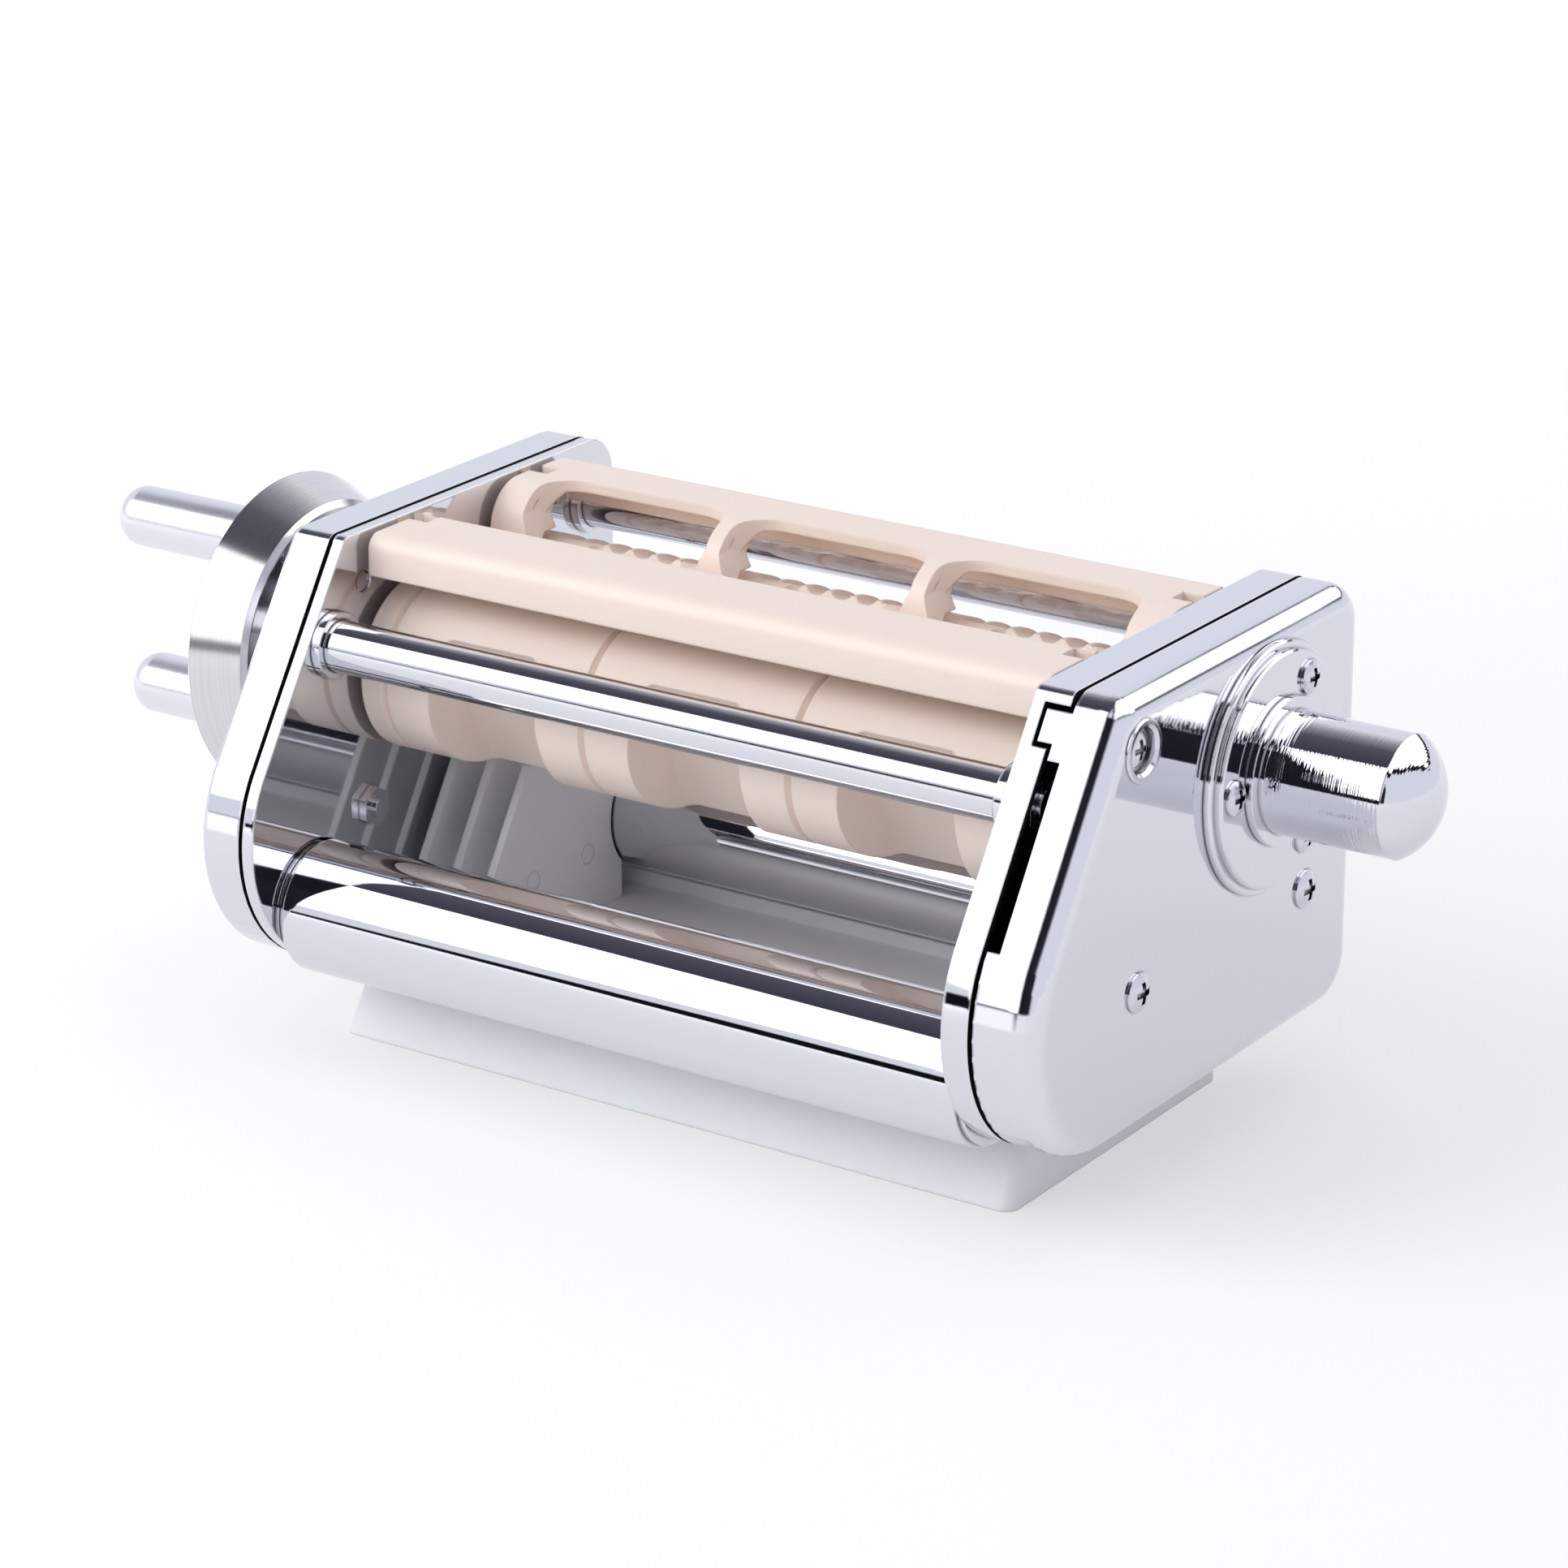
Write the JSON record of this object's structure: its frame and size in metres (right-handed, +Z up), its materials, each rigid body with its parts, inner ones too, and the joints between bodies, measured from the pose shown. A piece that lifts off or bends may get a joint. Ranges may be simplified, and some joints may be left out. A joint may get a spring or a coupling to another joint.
{
  "type": "hand cranked ravioli maker",
  "caption": "Ravioli maker with pocketed rollers under a lift-off hopper, chromed side housings, a crank wheel with finger pegs and a plug for a mixer's socket.",
  "frame": {"origin": "on the surface the base stands on, under the middle of the roller nip", "axes": "+X along the rollers towards the hub plug, +Y from front to back, +Z up"},
  "size_m": [0.2731, 0.1159, 0.1009],
  "materials": {
    "chromed_sheet": "bright chrome plate on pressed steel sheet",
    "chromed_bar": "bright chrome plate on turned steel bar",
    "chromed_tube": "bright chrome plate on drawn steel tube",
    "plated_screws": "bright nickel plate",
    "zinc_plated_steel": "dull zinc plate",
    "ground_steel": "ground",
    "gear_steel": "cut teeth, light oil",
    "spring_steel": "blackened",
    "beige_plastic": "moulded acetal, satin",
    "pale_grey_plastic": "moulded ABS, satin",
    "dark_plastic": "moulded",
    "bush_nylon": "moulded nylon",
    "turned_aluminium": "lathe turned",
    "satin_aluminium": "satin"
  },
  "bodies": {
    "housing": {"left_frame": "chromed_sheet", "right_frame": "chromed_sheet", "left_cover": "chromed_sheet", "right_cover": "chromed_sheet", "left_cover_posts": "zinc_plated_steel", "right_cover_posts": "zinc_plated_steel", "left_cover_screws": "plated_screws", "right_cover_screws": "plated_screws", "screw_cup": "chromed_sheet", "frame_lock_nuts": "plated_screws", "front_tie_rod": "chromed_bar", "rear_tie_rod": "chromed_bar", "tie_rod_collars": "chromed_bar", "tie_rod_nuts": "zinc_plated_steel", "front_tube": "chromed_tube", "rear_tube": "chromed_tube", "tube_end_plugs": "dark_plastic", "tube_screws": "plated_screws", "base_tray": "pale_grey_plastic", "tray_screws": "plated_screws", "hopper_pins": "zinc_plated_steel", "shaft_bushes": "bush_nylon", "hub_flange": "chromed_sheet", "hub_plug": "chromed_bar", "hub_screws": "plated_screws"},
    "crank": {"front_shaft": "ground_steel", "front_roller": "beige_plastic", "front_gear": "gear_steel", "front_gear_clip": "spring_steel", "crank_wheel": "turned_aluminium", "crank_pegs": "satin_aluminium", "crank_screw": "plated_screws"},
    "rear_roller_set": {"rear_shaft": "ground_steel", "rear_roller": "beige_plastic", "rear_gear": "gear_steel", "rear_gear_clip": "spring_steel"},
    "hopper_body": {"hopper": "beige_plastic"}
  },
  "joints": [
    {"name": "crank_spin", "type": "hinge", "parent": "housing", "child": "crank", "pos_m": [0, -0.0171, 0.0694], "axis": [1, 0, 0], "continuous": true},
    {"name": "rear_roller_spin", "type": "hinge", "parent": "housing", "child": "rear_roller_set", "pos_m": [0, 0.0171, 0.0694], "axis": [1, 0, 0], "continuous": true},
    {"name": "hopper_lift", "type": "slide", "parent": "housing", "child": "hopper_body", "axis": [0, 0, 1], "range_m": [0, 0.05]}
  ],
  "couplings": [
    {"joint": "rear_roller_spin", "follows": "crank_spin", "ratio": -1}
  ]
}
